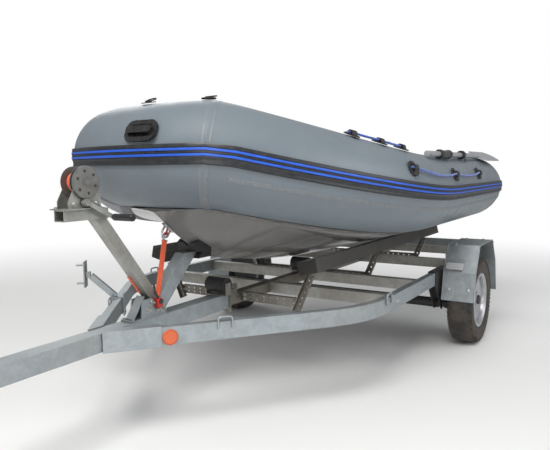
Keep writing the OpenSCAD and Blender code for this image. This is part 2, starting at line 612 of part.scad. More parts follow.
module rim() rotate([-90, 0, 0]) rotate_extrude($fn = 96) polygon([
    [stub_r + run_c, -84], [hub_r, -84], [hub_r, 20], [100, 22], [132, 34], [157, 34], [157, -68], [166, -68], [166, -72], [rim_r, -72], [rim_r, -67], [163, -60],
    [163, 62], [rim_r, 67], [rim_r, 71], [166, 72], [156, 60], [152, 42], [128, 41], [98, 29], [58, 27], [50, 30], [46, 50], [0, 56], [0, 36], [stub_r + run_c, 36]]);
TYRE = [[164, -59], [181, -66], [196, -75], [225, -80], [255, -78], [274, -70], [285, -58], [289, -38],
    [289, 38], [285, 58], [274, 70], [255, 78], [225, 80], [196, 75], [181, 66], [164, 59]];
module tyre() rotate([-90, 0, 0]) rotate_extrude($fn = 96) polygon([for (p = TYRE) [p[0] + (p[0] > 288 ? tyre_r - 289 : 0), p[1] * tyre_w / 160]]);
module port_rim() color("#c3c8ca") placed() translate([0, tyre_y, tyre_r]) rim();
module port_tyre() color("#26231f") placed() translate([0, tyre_y, tyre_r]) tyre();
module starboard_rim() color("#c3c8ca") placed() mirror([0, 1, 0]) translate([0, tyre_y, tyre_r]) rim();
module starboard_tyre() color("#26231f") placed() mirror([0, 1, 0]) translate([0, tyre_y, tyre_r]) tyre();

// ---------- coupling
cup_z = frame_b - 8;
module coupling_head() color("#6d7072") placed() {
    translate([ball_x - 180 + e, -48, frame_b - 8]) cube([8, 96, rail_h + 16]);
    difference() {
        union() {
            translate([ball_x - 172 + e, -30, frame_b + 6]) cube([150, 60, 52]);
            translate([ball_x, 0, cup_z]) cylinder(r = 40, h = 62);
        }
        translate([ball_x, 0, cup_z - 1]) cylinder(r = ball_r, h = 23);
        translate([ball_x, 0, cup_z + 22]) sphere(r = ball_r);
    }
    // release handle
    translate([ball_x - 150, -14, frame_z + 22]) rotate([0, -8, 0]) cube([170, 28, 10]);
    translate([ball_x - 20, -10, frame_z - 24 + 4]) cube([20, 20, 66]);
    translate([ball_x - 140, -10, frame_b + 58]) cube([24, 20, 50]);
}

// ---------- jockey wheel
jockey_y = bar_s / 2 + 58;
leg_r = 24;
sleeve_r = 29;
fork_z = 2 * jockey_r + 16;
trail = 42;
module jockey_clamp() color("#a9aeb0") placed() {
    // clamp block on the drawbar
    difference() {
        translate([jockey_x - 40, bar_s / 2 + e, frame_b + 8]) cube([80, jockey_y - bar_s / 2 - 6, 64]);
        translate([jockey_x, jockey_y, 0]) cylinder(r = leg_r + 2, h = 900);
    }
    difference() {
        translate([jockey_x, jockey_y, frame_b - 90]) cylinder(r = sleeve_r, h = 470);
        translate([jockey_x, jockey_y, frame_b - 100]) cylinder(r = leg_r + run_c, h = 460);
    }
    // top handle
    translate([jockey_x, jockey_y, frame_b + 380]) cylinder(r = 9, h = 26);
    translate([jockey_x - 14, jockey_y - 9, frame_b + 400]) cube([140, 18, 7]);
    translate([jockey_x + 112, jockey_y, frame_b + 407]) cylinder(r = 10, h = 70);
}
module jockey_leg() color("#b7bcbe") placed() {
    translate([jockey_x, jockey_y, fork_z + 8]) cylinder(r = leg_r, h = 470);
    translate([jockey_x, jockey_y, fork_z - 6]) cylinder(r = 11, h = 14 + 0.1);
}
module jockey_fork() color("#8f9496") placed() {
    difference() {
        translate([jockey_x - trail - 22, jockey_y - 40, fork_z]) cube([trail + 52, 80, 6]);
        translate([jockey_x, jockey_y, fork_z - 5]) cylinder(r = 11 + run_c, h = 20);
    }
    for (s = [-1, 1]) difference() {
        translate([0, jockey_y + s * 37.5, 0]) rotate([90, 0, 0]) linear_extrude(5, center = true)
            polygon([[jockey_x - trail - 20, jockey_r - 18], [jockey_x - trail + 18, jockey_r - 18], [jockey_x + 26, fork_z], [jockey_x - trail - 22, fork_z]]);
    }
    y_cyl(jockey_x - trail, jockey_r, 8, jockey_y - 46, jockey_y + 46);
}
module jockey_wheel() color("#1c1c1c") placed() translate([jockey_x - trail, jockey_y, jockey_r]) rotate([-90, 0, 0]) rotate_extrude($fn = 64)
    polygon([[8 + run_c, -32], [22, -32], [24, -14], [66, -14], [70, -24], [92, -24], [100, -14], [100, 14], [92, 24], [70, 24], [66, 14], [24, 14], [22, 32], [8 + run_c, 32]]);

bow_tube();
port_tube();
starboard_tube();
rub_strake();
strake_stripes();
seam_tape();
boat_hull();
deck_floor();
transom();
thwarts();
bow_handle();
d_rings();
rope_holders();
lifelines();
oars();
oar_holders();
bow_eye();
drawbar();
inner_beam();
side_rails();
rail_sockets();
crossmembers();
crossbars();
bunk_legs();
bunks();
keel_rollers();
roller_brackets();
winch_post();
bow_post();
post_base();
bow_block();
winch_frame();
winch_drum();
winch_crank();
tie_strap();
strap_fittings();
spare_carrier();
lashing_hooks();
side_reflectors();
fenders();
marker_lamps();
light_board();
tail_lamps();
axle_beam();
axle_arms();
port_rim();
port_tyre();
starboard_rim();
starboard_tyre();
coupling_head();
jockey_clamp();
jockey_leg();
jockey_fork();
jockey_wheel();
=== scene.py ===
import bpy, math, json
import numpy as np
from mathutils import Matrix, Vector


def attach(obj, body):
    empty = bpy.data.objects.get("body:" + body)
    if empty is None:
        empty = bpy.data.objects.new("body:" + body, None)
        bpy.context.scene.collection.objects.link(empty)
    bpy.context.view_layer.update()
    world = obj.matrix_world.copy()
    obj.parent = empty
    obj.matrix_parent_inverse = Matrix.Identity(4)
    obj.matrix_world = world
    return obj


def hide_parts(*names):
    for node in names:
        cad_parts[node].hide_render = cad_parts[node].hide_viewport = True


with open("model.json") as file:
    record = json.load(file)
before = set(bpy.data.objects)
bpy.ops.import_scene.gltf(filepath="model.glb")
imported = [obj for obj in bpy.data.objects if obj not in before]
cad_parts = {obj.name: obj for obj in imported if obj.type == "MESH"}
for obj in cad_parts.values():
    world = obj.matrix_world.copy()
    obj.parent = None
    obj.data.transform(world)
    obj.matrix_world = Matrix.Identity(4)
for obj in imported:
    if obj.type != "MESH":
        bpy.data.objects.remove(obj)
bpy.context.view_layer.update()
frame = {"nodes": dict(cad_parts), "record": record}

N = frame["nodes"]
ROOT = "boat_and_trailer"
SHIFT = -1.411  # the CAD names count from the axle; this moves them to the middle of the box


def P(x, y, z):
    return Vector((x + SHIFT, y, z))


# ------------------------------------------------------------------ materials
class Mat:
    """A node material put together in a few calls."""

    def __init__(self, name):
        self.m = bpy.data.materials.new(name)
        self.m.use_nodes = True
        t = self.m.node_tree
        for n in list(t.nodes):
            t.nodes.remove(n)
        self.t = t
        self.out = t.nodes.new("ShaderNodeOutputMaterial")
        self.b = t.nodes.new("ShaderNodeBsdfPrincipled")
        t.links.new(self.b.outputs[0], self.out.inputs[0])
        self.co = t.nodes.new("ShaderNodeTexCoord")
        self.hgt = None

    def n(self, kind, **kw):
        x = self.t.nodes.new(kind)
        for k, v in kw.items():
            setattr(x, k, v)
        return x

    def link(self, a, b):
        self.t.links.new(a, b)

    def where(self, scale=(1, 1, 1), rot=(0, 0, 0)):
        mp = self.n("ShaderNodeMapping")
        mp.inputs["Scale"].default_value = scale
        mp.inputs["Rotation"].default_value = rot
        self.link(self.co.outputs["Object"], mp.inputs[0])
        return mp.outputs[0]

    def noise(self, scale, detail=4, rough=0.55, at=None, dist=0.0):
        x = self.n("ShaderNodeTexNoise")
        x.inputs["Scale"].default_value = scale
        x.inputs["Detail"].default_value = detail
        x.inputs["Roughness"].default_value = rough
        x.inputs["Distortion"].default_value = dist
        self.link(at or self.where(), x.inputs["Vector"])
        return x.outputs["Fac"]

    def voronoi(self, scale, at=None, feature="F1", out="Distance"):
        x = self.n("ShaderNodeTexVoronoi", feature=feature)
        x.inputs["Scale"].default_value = scale
        self.link(at or self.where(), x.inputs["Vector"])
        return x.outputs[out]

    def wave(self, scale, at=None, axis="X", dist=0.0, detail=2, kind="BANDS"):
        x = self.n("ShaderNodeTexWave", wave_type=kind)
        if kind == "BANDS":
            x.bands_direction = axis
        x.inputs["Scale"].default_value = scale
        x.inputs["Distortion"].default_value = dist
        x.inputs["Detail"].default_value = detail
        self.link(at or self.where(), x.inputs["Vector"])
        return x.outputs["Fac"]

    def ramp(self, fac, stops):
        r = self.n("ShaderNodeValToRGB")
        el = r.color_ramp.elements
        while len(el) < len(stops):
            el.new(0.5)
        for e, (p, c) in zip(el, stops):
            e.position = p
            e.color = (*c, 1) if hasattr(c, "__len__") else (c, c, c, 1)
        self.link(fac, r.inputs[0])
        return r.outputs[0]

    def mix(self, fac, a, b, blend="MIX"):
        x = self.n("ShaderNodeMix", data_type="RGBA", blend_type=blend)
        for s, v in ((x.inputs[0], fac), (x.inputs[6], a), (x.inputs[7], b)):
            if isinstance(v, bpy.types.NodeSocket):
                self.link(v, s)
            elif hasattr(v, "__len__"):
                s.default_value = (*v, 1)
            else:
                s.default_value = v
        return x.outputs[2]

    def math(self, op, a, b=0.0):
        x = self.n("ShaderNodeMath", operation=op)
        for s, v in ((x.inputs[0], a), (x.inputs[1], b)):
            if isinstance(v, bpy.types.NodeSocket):
                self.link(v, s)
            else:
                s.default_value = v
        return x.outputs[0]

    def color(self, v):
        if isinstance(v, bpy.types.NodeSocket):
            self.link(v, self.b.inputs["Base Color"])
        else:
            self.b.inputs["Base Color"].default_value = (*v, 1)

    def rough(self, v):
        if isinstance(v, bpy.types.NodeSocket):
            self.link(v, self.b.inputs["Roughness"])
        else:
            self.b.inputs["Roughness"].default_value = v

    def set(self, **kw):
        for k, v in kw.items():
            self.b.inputs[k.replace("_", " ")].default_value = v

    def bump(self, h, strength=0.2, dist=0.001):
        x = self.n("ShaderNodeBump")
        x.inputs["Strength"].default_value = strength
        x.inputs["Distance"].default_value = dist
        self.link(h, x.inputs["Height"])
        if self.hgt is not None:
            self.link(self.hgt, x.inputs["Normal"])
        self.hgt = x.outputs[0]
        self.link(self.hgt, self.b.inputs["Normal"])

    def painted_ao_shade(self, amount=0.35, dist=0.12):
        """painted shade: ambient occlusion darkens the colour in corners and under edges"""
        ao = self.n("ShaderNodeAmbientOcclusion")
        ao.samples = 4
        ao.inputs["Distance"].default_value = dist
        return self.math("SUBTRACT", 1.0, self.math("MULTIPLY", self.math("SUBTRACT", 1.0, ao.outputs["AO"]), amount))


def galvanised(name, base=(0.32, 0.355, 0.375), worn=0.35, tint=(0.30, 0.27, 0.22), scale=1.0):
    m = Mat(name)
    big = m.noise(3.2 * scale, 5, 0.62)
    mid = m.noise(17 * scale, 6, 0.7, dist=0.6)
    sp = m.voronoi(95 * scale, out="Color")
    bw = m.n("ShaderNodeRGBToBW"); m.link(sp, bw.inputs[0])
    c = m.ramp(mid, [(0.30, tuple(x * 0.80 for x in base)), (0.5, base), (0.68, tuple(min(1, x * 1.22) for x in base))])
    c = m.mix(m.math("MULTIPLY", bw.outputs[0], 0.22), c, tuple(min(1, x * 1.3) for x in base))
    dirt = m.ramp(big, [(0.42, 0.0), (0.72, worn)])
    c = m.mix(dirt, c, tint)
    run = m.noise(30 * scale, 4, 0.6, at=m.where((1.0, 1.0, 0.18)))
    c = m.mix(m.ramp(run, [(0.55, 0.0), (0.78, 0.30)]), c, tuple(min(1, x * 1.35) for x in base))
    # painted shade: AO darkening multiplied into the steel colour
    ao = m.painted_ao_shade(0.45, 0.06)
    c = m.mix(1.0, c, ao, "MULTIPLY")
    m.color(c)
    m.set(Metallic=0.62)
    m.rough(m.ramp(mid, [(0.3, 0.36), (0.7, 0.56)]))
    m.bump(bw.outputs[0], 0.05, 0.0006)
    m.bump(mid, 0.22, 0.0012)
    return m.m


def fabric_tube():
    m = Mat("tube_fabric")
    big = m.noise(2.2, 4, 0.6)
    fine = m.noise(420, 3, 0.6)
    c = m.ramp(big, [(0.3, (0.128, 0.156, 0.180)), (0.7, (0.155, 0.186, 0.210))])
    c = m.mix(m.math("MULTIPLY", fine, 0.10), c, (0.23, 0.24, 0.25))
    scuff = m.noise(9, 7, 0.75, at=m.where((0.5, 1.0, 2.2)))
    c = m.mix(m.ramp(scuff, [(0.60, 0.0), (0.80, 0.22)]), c, (0.27, 0.275, 0.28))
    m.color(c)
    m.rough(m.ramp(m.noise(12, 5, 0.6), [(0.3, 0.34), (0.7, 0.46)]))
    m.set(Specular_IOR_Level=0.5)
    w1 = m.wave(420, axis="X"); w2 = m.wave(420, axis="Z")
    m.bump(m.math("ADD", w1, w2), 0.035, 0.0004)
    m.bump(m.noise(6, 3, 0.5), 0.10, 0.006)
    return m.m


def gelcoat():
    m = Mat("gelcoat")
    big = m.noise(1.6, 4, 0.6, dist=0.5)
    c = m.ramp(big, [(0.32, (0.135, 0.132, 0.126)), (0.52, (0.175, 0.168, 0.160)), (0.70, (0.225, 0.200, 0.180))])
    scr = m.noise(26, 6, 0.7, at=m.where((0.25, 2.0, 2.0)))
    c = m.mix(m.ramp(scr, [(0.58, 0.0), (0.75, 0.25)]), c, (0.36, 0.33, 0.30))
    m.color(c)
    m.rough(m.ramp(m.noise(8, 5, 0.6), [(0.3, 0.10), (0.7, 0.22)]))
    m.set(Coat_Weight=0.5, Coat_Roughness=0.08)
    m.bump(m.noise(3.0, 2, 0.5), 0.25, 0.02)
    m.bump(scr, 0.05, 0.0008)
    return m.m


def rubber(name, base=(0.016, 0.017, 0.018), rough=(0.42, 0.6), scale=60, dirt=0.0):
    m = Mat(name)
    n = m.noise(scale, 5, 0.6)
    c = m.ramp(n, [(0.35, tuple(x * 0.8 for x in base)), (0.7, tuple(x * 1.7 + 0.004 for x in base))])
    if dirt:
        d = m.noise(11, 7, 0.72)
        c = m.mix(m.ramp(d, [(0.40, 0.0), (0.66, dirt)]), c, (0.16, 0.12, 0.085))
    # painted shade: AO darkening multiplied into the rubber colour
    ao = m.painted_ao_shade(0.4, 0.03)
    c = m.mix(1.0, c, ao, "MULTIPLY")
    m.color(c)
    m.rough(m.ramp(n, [(0.3, rough[0]), (0.7, rough[1])]))
    m.bump(m.noise(scale * 6, 3, 0.6), 0.10, 0.0006)
    return m.m


def paint(name, base, rough=(0.25, 0.4), metallic=0.0, scale=20, worn=0.15, wear=(0.3, 0.29, 0.28), coat=0.0, bump=0.06):
    m = Mat(name)
    n = m.noise(scale, 6, 0.65)
    c = m.ramp(n, [(0.3, tuple(x * 0.82 for x in base)), (0.7, tuple(min(1, x * 1.15) for x in base))])
    if worn:
        c = m.mix(m.ramp(m.noise(scale * 2.3, 7, 0.75), [(0.56, 0.0), (0.76, worn)]), c, wear)
    # painted shade: AO darkening multiplied into the paint colour
    c = m.mix(1.0, c, m.painted_ao_shade(0.4, 0.04), "MULTIPLY")
    m.color(c)
    m.set(Metallic=metallic, Coat_Weight=coat, Coat_Roughness=0.1)
    m.rough(m.ramp(n, [(0.3, rough[0]), (0.7, rough[1])]))
    m.bump(m.noise(scale * 5, 4, 0.6), bump, 0.0008)
    return m.m


def lens(name, base, tr=0.35, rings=0.0):
    m = Mat(name)
    v = m.wave(190, axis="Z"); w = m.wave(190, axis="Y")
    c = m.ramp(m.math("MULTIPLY", v, w), [(0.0, tuple(x * 0.7 for x in base)), (1.0, tuple(min(1, x * 1.25) for x in base))])
    m.color(c)
    m.rough(0.12)
    m.set(Transmission_Weight=tr, Coat_Weight=1.0, Coat_Roughness=0.04)
    m.bump(m.math("ADD", v, w), 0.35, 0.0015)
    return m.m


def webbing(name, base):
    m = Mat(name)
    w = m.wave(260, axis="Z", dist=0.4)
    w2 = m.wave(180, axis="Y")
    c = m.ramp(w, [(0.2, tuple(x * 0.7 for x in base)), (0.8, tuple(min(1, x * 1.1) for x in base))])
    c = m.mix(m.ramp(m.noise(15, 5, 0.6), [(0.5, 0.0), (0.75, 0.3)]), c, tuple(x * 0.5 + 0.02 for x in base))
    m.color(c); m.rough(0.75); m.set(Sheen_Weight=0.3)
    m.bump(m.math("ADD", w, w2), 0.4, 0.0012)
    return m.m


def rope_mat():
    m = Mat("blue_rope")
    w = m.wave(70, at=m.where((1, 1, 1), (0.5, 0.6, 0.2)), axis="DIAGONAL", dist=0.3)
    c = m.ramp(w, [(0.15, (0.012, 0.035, 0.20)), (0.6, (0.03, 0.085, 0.50)), (1.0, (0.06, 0.15, 0.62))])
    m.color(c); m.rough(0.7); m.set(Sheen_Weight=0.4)
    m.bump(w, 0.8, 0.003)
    return m.m


def carpet():
    m = Mat("bunk_carpet")
    n = m.noise(230, 4, 0.7)
    c = m.ramp(n, [(0.3, (0.012, 0.011, 0.010)), (0.7, (0.040, 0.036, 0.030))])
    c = m.mix(m.ramp(m.noise(7, 5, 0.6), [(0.45, 0.0), (0.75, 0.4)]), c, (0.08, 0.065, 0.045))
    m.color(c); m.rough(0.95); m.set(Sheen_Weight=0.3)
    m.bump(n, 0.8, 0.004)
    return m.m


def board(name, base):
    m = Mat(name)
    w = m.wave(16, axis="Y", dist=5.0, detail=4)
    c = m.ramp(w, [(0.2, tuple(x * 0.8 for x in base)), (0.8, tuple(x * 1.15 for x in base))])
    c = m.mix(m.ramp(m.noise(40, 5, 0.7), [(0.55, 0.0), (0.8, 0.25)]), c, (0.4, 0.38, 0.34))
    m.color(c); m.rough(m.ramp(m.noise(30, 4), [(0.3, 0.35), (0.7, 0.55)]))
    m.bump(m.noise(160, 3), 0.15, 0.0008)
    return m.m


M = {
    "tube_fabric": fabric_tube(),
    "strake_rubber": rubber("strake_rubber", (0.014, 0.015, 0.017), (0.32, 0.48), 40),
    "blue_rubber": paint("blue_rubber", (0.020, 0.095, 0.52), (0.34, 0.46), scale=14, worn=0.10, wear=(0.1, 0.2, 0.55)),
    "gelcoat": gelcoat(),
    "deck_grey": paint("deck_grey", (0.30, 0.31, 0.32), (0.5, 0.7), scale=90, worn=0.2, bump=0.5),
    "transom_board": board("transom_board", (0.10, 0.10, 0.105)),
    "thwart_board": board("thwart_board", (0.10, 0.105, 0.11)),
    "black_plastic": rubber("black_plastic", (0.012, 0.012, 0.013), (0.20, 0.34), 30),
    "black_rubber": rubber("black_rubber", (0.018, 0.018, 0.018), (0.45, 0.65), 70),
    "blue_rope": rope_mat(),
    "oar_grey": paint("oar_grey", (0.42, 0.43, 0.45), (0.28, 0.42), metallic=0.5, scale=30),
    "stainless": paint("stainless", (0.62, 0.63, 0.64), (0.12, 0.22), metallic=1.0, scale=40, worn=0.0),
    "galvanised": galvanised("galvanised"),
    "bunk_carpet": carpet(),
    "zinc": galvanised("zinc", (0.40, 0.41, 0.39), 0.55, (0.17, 0.14, 0.10), 1.6),
    "drum_orange": galvanised("drum_steel", (0.20, 0.20, 0.19), 0.7, (0.12, 0.10, 0.08), 2.0),
    "orange_webbing": webbing("orange_webbing", (0.80, 0.105, 0.028)),
    "red_paint": paint("red_paint", (0.50, 0.022, 0.018), (0.25, 0.4), scale=30, coat=0.3),
    "orange_reflector": lens("orange_reflector", (0.85, 0.12, 0.008), 0.15),
    "clear_lens": lens("clear_lens", (0.80, 0.82, 0.84), 0.35),
    "red_lens": lens("red_lens", (0.45, 0.012, 0.01), 0.2),
    "axle_black": paint("axle_black", (0.030, 0.030, 0.030), (0.4, 0.6), scale=18, worn=0.5, wear=(0.10, 0.085, 0.07)),
    "rim_silver": paint("rim_silver", (0.42, 0.43, 0.445), (0.26, 0.42), metallic=0.55, scale=14, worn=0.35, wear=(0.22, 0.19, 0.16)),
    "tyre_rubber": rubber("tyre_rubber", (0.020, 0.019, 0.018), (0.55, 0.8), 45, dirt=0.35),
}
GALV_OLD = galvanised("galvanised_old", (0.36, 0.36, 0.34), 0.65, (0.20, 0.16, 0.11), 1.3)
DIRTY_STEEL = galvanised("dirty_steel", (0.24, 0.225, 0.20), 0.8, (0.10, 0.08, 0.055), 1.5)
TREAD = rubber("tread_dirty", (0.026, 0.022, 0.019), (0.7, 0.9), 60, dirt=0.75)
BOLT = paint("bolt_zinc", (0.50, 0.51, 0.50), (0.25, 0.4), metallic=0.9, scale=60, worn=0.3, wear=(0.3, 0.25, 0.18))

SLOT_OF = {r["node"]: r["material_slot"] for r in frame["record"]["subparts"]}


def dress(o, mat):
    o.data.materials.clear()
    o.data.materials.append(mat)


def smooth(o, deg=32):
    """smooth shading that keeps edges sharper than deg"""
    me = o.data
    me.shade_smooth()
    me.set_sharp_from_angle(angle=math.radians(deg))


OLD = {"winch_post", "crossbars", "bunk_legs", "inner_beam", "roller_brackets", "bow_post"}
for name, o in N.items():
    s = SLOT_OF[name]
    mat = M[s]
    if name in ("crossbars", "bunk_legs", "inner_beam"):
        mat = DIRTY_STEEL
    elif name in ("winch_post", "roller_brackets", "crossmembers"):
        mat = GALV_OLD
    dress(o, mat)
    smooth(o)

made = []


def mesh_obj(name, verts, faces, mat, body=ROOT, sm=True, deg=32):
    me = bpy.data.meshes.new(name)
    me.from_pydata([tuple(v) for v in verts], [], faces)
    me.validate(); me.update()
    o = bpy.data.objects.new(name, me)
    bpy.context.scene.collection.objects.link(o)
    me.materials.append(mat)
    if sm:
        smooth(o, deg)
    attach(o, body)
    made.append(o)
    return o


class Build:
    """gathers primitives into one mesh"""

    def __init__(self):
        self.v, self.f = [], []

    def add(self, v, f):
        k = len(self.v)
        self.v += [Vector(x) for x in v]
        self.f += [[i + k for i in q] for q in f]

    def frame(self, axis, up=(0, 0, 1)):
        a = Vector(axis).normalized()
        u = Vector(up)
        if abs(a.dot(u)) > 0.95:
            u = Vector((1, 0, 0))
        s = a.cross(u).normalized()
        return a, s, s.cross(a)

    def lathe(self, at, axis, prof, n=24, up=(0, 0, 1)):
        """prof: rows of distance along the axis and radius"""
        a, s, t = self.frame(axis, up)
        at = Vector(at); v = []; f = []
        for d, r in prof:
            for j in range(n):
                w = 2 * math.pi * j / n
                v.append(at + a * d + (s * math.cos(w) + t * math.sin(w)) * r)
        for i in range(len(prof) - 1):
            for j in range(n):
                f.append([i * n + j, i * n + (j + 1) % n, (i + 1) * n + (j + 1) % n, (i + 1) * n + j])
        f.append([j for j in range(n - 1, -1, -1)])
        f.append([(len(prof) - 1) * n + j for j in range(n)])
        self.add(v, f)

    def hexbolt(self, at, axis, r=0.011, h=0.007, washer=True, stud=0.0):
        if washer:
            self.lathe(at, axis, [(0, r * 1.45), (0.0018, r * 1.45), (0.0022, r * 1.35)], 20)
        a = Vector(axis).normalized()
        self.lathe(Vector(at) + a * 0.0018, axis, [(0, r), (h * 0.85, r), (h, r * 0.86)], 6)
        if stud:
            self.lathe(Vector(at) + a * (0.0018 + h), axis, [(0, r * 0.55), (stud, r * 0.55), (stud + 0.001, r * 0.45)], 12)

    def box(self, m, sx, sy, sz, bev=0.0):
        """box centred on matrix m with full sizes"""
        v = []
        b = min(bev, 0.45 * min(sx, sy, sz))
        if b <= 0:
            for x in (-1, 1):
                for y in (-1, 1):
                    for z in (-1, 1):
                        v.append(m @ Vector((x * sx / 2, y * sy / 2, z * sz / 2)))
            f = [[0, 1, 3, 2], [4, 6, 7, 5], [0, 4, 5, 1], [2, 3, 7, 6], [0, 2, 6, 4], [1, 5, 7, 3]]
            self.add(v, f)
            return
        # rounded in the local xy plane, bevelled at the ends
        ring = []
        for cx, cy, a0 in ((1, 1, 0), (-1, 1, 90), (-1, -1, 180), (1, -1, 270)):
            for k in range(4):
                w = math.radians(a0 + 30 * k)
                ring.append((cx * (sx / 2 - b) + b * math.cos(w), cy * (sy / 2 - b) + b * math.sin(w)))
        n = len(ring)
        rows = [(-sz / 2, 0.6), (-sz / 2 + b * 0.6, 0), (sz / 2 - b * 0.6, 0), (sz / 2, 0.6)]
        for z, k in rows:
            for x, y in ring:
                v.append(m @ Vector((x - math.copysign(b * k, x), y - math.copysign(b * k, y), z)))
        f = [[i * n + j, i * n + (j + 1) % n, (i + 1) * n + (j + 1) % n, (i + 1) * n + j] for i in range(3) for j in range(n)]
        f.append([j for j in range(n - 1, -1, -1)])
        f.append([3 * n + j for j in range(n)])
        self.add(v, f)

    def tube(self, pts, r, n=12, cap=True):
        """round bar through points; r a number or one for each point"""
        pts = [Vector(p) for p in pts]
        rr = [r] * len(pts) if not hasattr(r, "__len__") else r
        v = []; f = []
        d0 = (pts[1] - pts[0]).normalized()
        a, s, t = self.frame(d0)
        for i, p in enumerate(pts):
            d = (pts[min(i + 1, len(pts) - 1)] - pts[max(i - 1, 0)]).normalized()
            s = (s - d * s.dot(d)).normalized(); t = d.cross(s)
            for j in range(n):
                w = 2 * math.pi * j / n
                v.append(p + (s * math.cos(w) + t * math.sin(w)) * rr[i])
        for i in range(len(pts) - 1):
            for j in range(n):
                f.append([i * n + j, i * n + (j + 1) % n, (i + 1) * n + (j + 1) % n, (i + 1) * n + j])
        f.append([j for j in range(n - 1, -1, -1)]); f.append([(len(pts) - 1) * n + j for j in range(n)])
        self.add(v, f)

    def ribbon(self, pts, outs, w, t):
        """flat strip through pts; outs gives the face normal; w width, t thickness"""
        pts = [Vector(p) for p in pts]; v = []; f = []
        for i, p in enumerate(pts):
            d = (pts[min(i + 1, len(pts) - 1)] - pts[max(i - 1, 0)]).normalized()
            o = Vector(outs[i]); o = (o - d * o.dot(d)).normalized(); s = d.cross(o)
            for a, b in ((-w / 2, 0), (w / 2, 0), (w / 2, t), (-w / 2, t)):
                v.append(p + s * a + o * b)
        for i in range(len(pts) - 1):
            for j in range(4):
                f.append([i * 4 + j, i * 4 + (j + 1) % 4, (i + 1) * 4 + (j + 1) % 4, (i + 1) * 4 + j])
        f.append([3, 2, 1, 0]); k = (len(pts) - 1) * 4; f.append([k, k + 1, k + 2, k + 3])
        self.add(v, f)

    def make(self, name, mat, body=ROOT, deg=32):
        return mesh_obj(name, self.v, self.f, mat, body, True, deg)

# ------------------------------------------------------------------ the boat's lines, as in the CAD
TUBE_R, BOW_R, TUBE_Y, TUBE_Z, BOW_Z = 0.220, 0.243, 0.800, 1.035, 1.250
CORNER_X, CORNER_Y, FRONT_X, SIDE_X, SHEER_X = 1.888, 0.277, 1.934, 0.650, 0.500
CONE = [(0.560, 0.16, 0.014), (0.550, 0.29, 0.014), (0.540, 0.36, 0.014), (0.510, 0.455, 0.013), (0.480, 0.53, 0.012), (0.420, 0.64, 0.010),
        (0.360, 0.73, 0.008), (0.290, 0.81, 0.005), (0.220, 0.88, 0.003), (0.160, 0.93, 0.001), (0.100, 0.968, 0.0), (0.040, 0.992, 0.0)]
CONE_X = -0.560


def bend_t(x): return max(0.0, (x - SIDE_X) / (CORNER_X - SIDE_X))
def sheer_t(x): return max(0.0, (x - SHEER_X) / (CORNER_X - SHEER_X))
def cl_y(x): return TUBE_Y - (TUBE_Y - CORNER_Y) * bend_t(x) ** 2.5
def cl_z(x): return TUBE_Z + (BOW_Z - TUBE_Z) * sheer_t(x) ** 2.2
def cl_r(x): return TUBE_R + (BOW_R - TUBE_R) * sheer_t(x) ** 1.5


def side_stations():
    s = [(CONE_X - d, TUBE_Y, TUBE_Z + h, TUBE_R * k) for d, k, h in CONE]
    xs = [CONE_X, -0.28, 0, 0.3] + [0.5 + i * (CORNER_X - 0.5) / 34 for i in range(35)]
    return s + [(x, cl_y(x), cl_z(x), cl_r(x)) for x in xs]


def bow_stations(n=17):
    out = []
    for i in range(n):
        t = 1 - 2 * i / (n - 1)
        out.append((CORNER_X + (FRONT_X - CORNER_X) * (1 - t * t), CORNER_Y * t, BOW_Z, BOW_R))
    return out


SIDE = side_stations()
BOW = bow_stations()
PATH = SIDE + BOW[1:-1] + [(a, -b, c, d) for a, b, c, d in SIDE[::-1]]
NP_ = len(PATH)
NS = len(SIDE)
PTS = [Vector(p[:3]) for p in PATH]


def d_in(i): return (PTS[1] - PTS[0]).normalized() if i == 0 else (PTS[i] - PTS[i - 1]).normalized()
def d_out(i): return d_in(i) if i == NP_ - 1 else (PTS[i + 1] - PTS[i]).normalized()
def mitre(i): return (d_in(i) + d_out(i)).normalized()
def outw(i): return Vector((0, 0, 1)).cross(mitre(i)).normalized()
def upw(i): return mitre(i).cross(outw(i))


def skin(i, a, extra, slide=0.0):
    k = 1 / max(0.3, mitre(i).dot(d_in(i)))
    r = PATH[i][3] + extra
    a = math.radians(a)
    p = PTS[i] + mitre(i) * slide + outw(i) * (r * k * math.cos(a)) + upw(i) * (r * math.sin(a))
    return p + Vector((SHIFT, 0, 0))


def tube_obj(name, i0, i1, node, n=72):
    b = Build(); v = []; f = []
    idx = list(range(i0, i1 + 1))
    for q, i in enumerate(idx):
        for j in range(n):
            v.append(skin(i, j * 360 / n, 0.0))
    m = len(idx)
    for q in range(m - 1):
        for j in range(n):
            f.append([q * n + j, q * n + (j + 1) % n, (q + 1) * n + (j + 1) % n, (q + 1) * n + j])
    if i0 == 0:
        f.append([j for j in range(n - 1, -1, -1)])
    if i1 == NP_ - 1:
        f.append([(m - 1) * n + j for j in range(n)])
    b.add(v, f)
    o = b.make(name, M["tube_fabric"], deg=40)
    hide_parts(node)
    return o


tube_obj("port_tube_skin", 0, NS - 1, "port_tube")
tube_obj("bow_tube_skin", NS - 1, NP_ - NS, "bow_tube")
tube_obj("starboard_tube_skin", NP_ - NS, NP_ - 1, "starboard_tube")


def band(b, i0, i1, prof):
    """prof: closed list of (angle, height)"""
    n = len(prof); v = []; f = []
    for i in range(i0, i1 + 1):
        for a, h in prof:
            v.append(skin(i, a, h))
    m = i1 - i0 + 1
    for q in range(m - 1):
        for j in range(n):
            f.append([q * n + j, q * n + (j + 1) % n, (q + 1) * n + (j + 1) % n, (q + 1) * n + j])
    f.append([j for j in range(n - 1, -1, -1)]); f.append([(m - 1) * n + j for j in range(n)])
    b.add(v, f)


